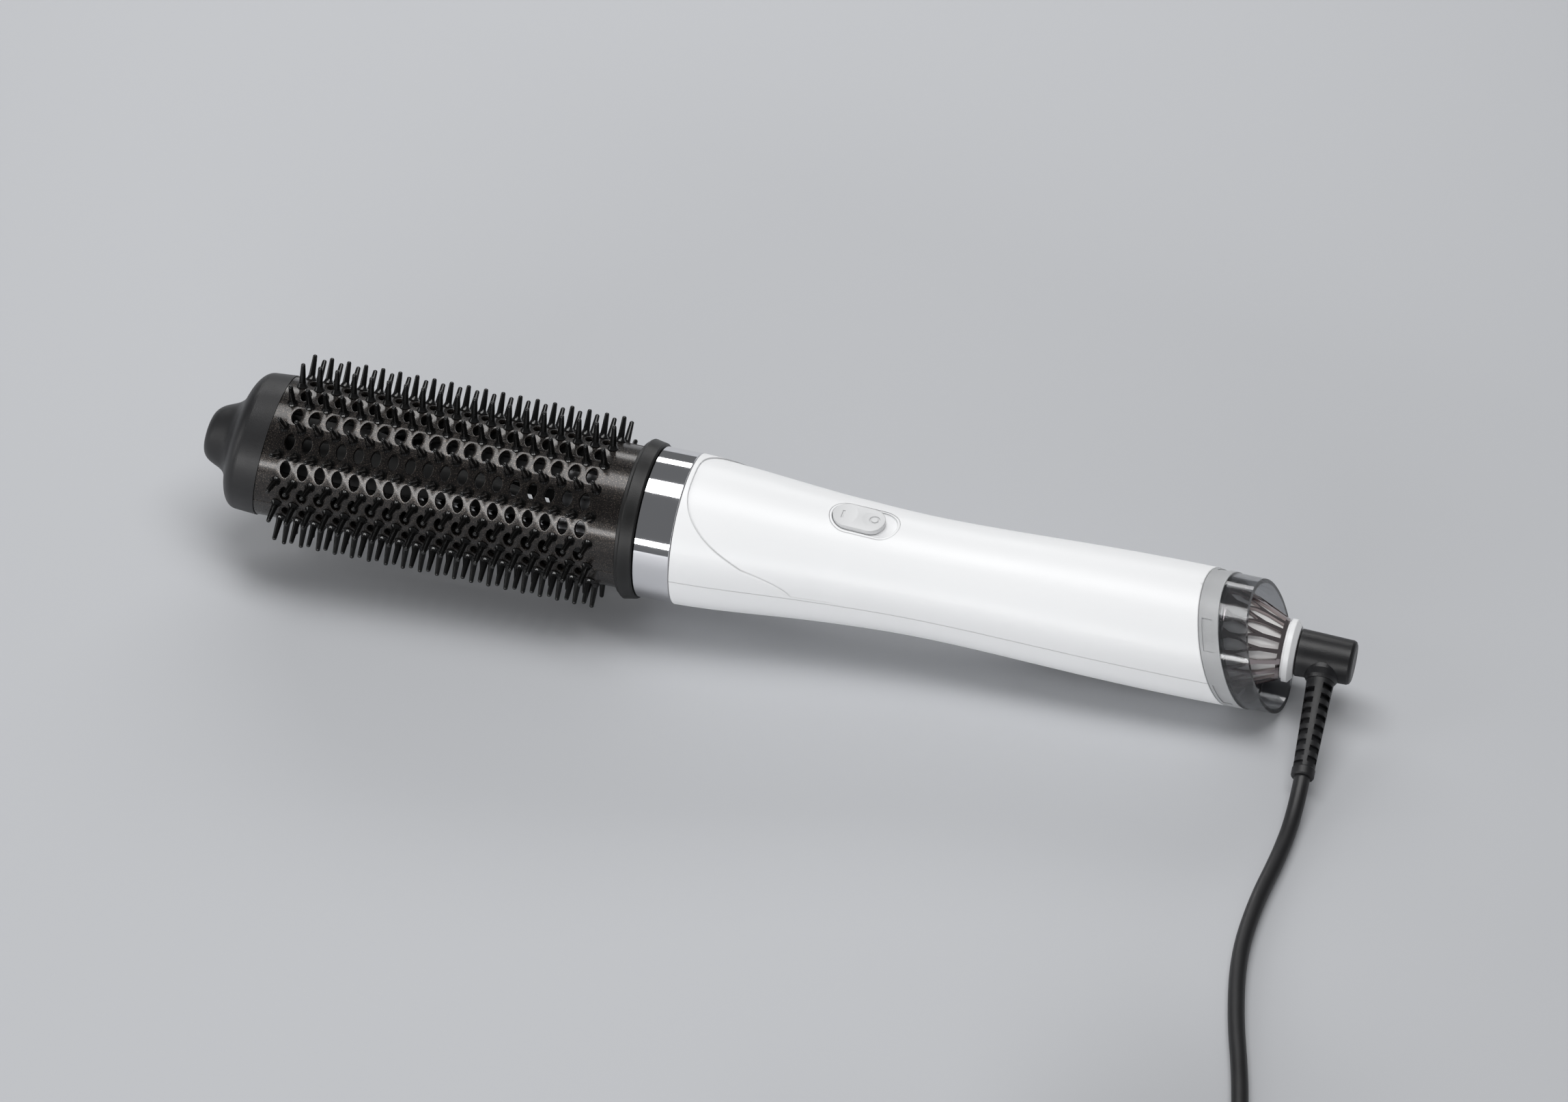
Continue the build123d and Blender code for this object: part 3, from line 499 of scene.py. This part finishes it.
def cell_angles(row):
    """Elevations across the vents that lie between a row line and the next."""
    start = FIRST_ROW + ROW_STEP * row + SEAM_EDGE
    width = ROW_STEP - 2 * SEAM_EDGE
    return [start + width * k / ROUND_STEPS for k in range(ROUND_STEPS + 1)]


def cell_rim(x0, row):
    """Points (x, elevation) round the edge of a vent cell."""
    angles = cell_angles(row)
    xs = [x0 + PIN_PITCH * k / SIDE_STEPS for k in range(SIDE_STEPS + 1)]
    rim = [(x, angles[0]) for x in xs[:-1]] + [(xs[-1], a) for a in angles[:-1]]
    return rim + [(x, angles[-1]) for x in xs[:0:-1]] + [(xs[0], a) for a in angles[:0:-1]]


def add_vent_cell(mesh, x0, row):
    """One almond-shaped vent with its rounded lip, wall and the metal round it."""
    rim = cell_rim(x0, row)
    centre_x = x0 + PIN_PITCH / 2
    centre_a = FIRST_ROW + ROW_STEP * (row + 0.5)
    half_a = ROW_STEP / 2 - SEAM_EDGE
    turns = [math.atan2((a - centre_a) / half_a, (x - centre_x) / (PIN_PITCH / 2))
             for x, a in rim]
    degrees = math.degrees(1 / BARREL_R)         # in a millimetre round the barrel

    def almond(scale, radius):
        """Outline of the vent at this scale and radius, one point for each of the rim."""
        points = []
        for t in turns:
            taper = 1 - VENT_TAPER * math.sin(t) ** 2
            along = VENT_HALF[0] * math.cos(t) * taper * scale
            across = VENT_HALF[1] * math.sin(t) * scale
            points.append(on_barrel(centre_x + along, centre_a + across * degrees, radius))
        return points

    loops = [[on_barrel(x, a, BARREL_R) for x, a in rim],
             almond(LIP_SIZES[0], BARREL_R), almond(LIP_SIZES[1], BARREL_R - LIP_DEPTHS[0]),
             almond(1.0, BARREL_R - LIP_DEPTHS[1]), almond(1.0, BARREL_INNER_R),
             [on_barrel(x, a, BARREL_INNER_R) for x, a in rim]]
    verts = [[mesh.verts.new(p) for p in loop] for loop in loops]
    count = len(rim)
    for first, second in zip(verts, verts[1:]):
        for k in range(count):
            n = (k + 1) % count
            mesh.faces.new((first[k], first[n], second[n], second[k]))


def front_edge(degrees):
    """Station of the barrel's leaning front edge at this elevation."""
    height = BARREL_R * math.sin(math.radians(degrees))
    return BARREL_FRONT + height * math.tan(math.radians(NOSE_LEAN))


def make_barrel_mesh():
    """Vented wall with seams, closed at both ends."""
    mesh = bmesh.new()
    stations = [FIRST_PIN + PIN_PITCH * k / SIDE_STEPS for k in range(VENTS * SIDE_STEPS + 1)]
    front_band = (front_edge, always(FIRST_PIN))
    back_band = (always(stations[-1]), always(BARREL_BACK))
    inner = always(BARREL_INNER_R)
    for row in range(ROWS):
        seam = seam_radius(row)
        for k in range(VENTS):
            add_vent_cell(mesh, FIRST_PIN + PIN_PITCH * k, row)
        for x0, x1 in zip(stations, stations[1:]):
            for face in (seam, inner):
                add_strip(mesh, line_angles(row), (always(x0), face), (always(x1), face))
        for angles, outer in ((line_angles(row), seam), (cell_angles(row), always(BARREL_R))):
            for start, end in (front_band, back_band):
                for face in (outer, inner):
                    add_strip(mesh, angles, (start, face), (end, face))
            for end in (front_edge, always(BARREL_BACK)):
                add_strip(mesh, angles, (end, outer), (end, inner))
    bmesh.ops.remove_doubles(mesh, verts=mesh.verts, dist=JOIN_DISTANCE)
    bmesh.ops.recalc_face_normals(mesh, faces=mesh.faces)
    return mesh


def build_barrel(material):
    """The barrel's skin, in place of the plain one."""
    mesh = make_barrel_mesh()
    data = bpy.data.meshes.new("barrel_skin")
    mesh.to_mesh(data)
    mesh.free()
    for polygon in data.polygons:
        polygon.use_smooth = True
    data.set_sharp_from_angle(angle=math.radians(SHARP_ANGLE))
    data.materials.append(material)
    skin = bpy.data.objects.new("barrel_skin", data)
    bpy.context.scene.collection.objects.link(skin)
    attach(skin, "body")
    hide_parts("barrel")


# ---- build --------------------------------------------------------------------------
make_camera()
make_studio()
MATERIALS = make_materials()
paint_nodes(MATERIALS)
LEAD = make_cord(MATERIALS["cord_jacket"])
build_barrel(MATERIALS["barrel"])
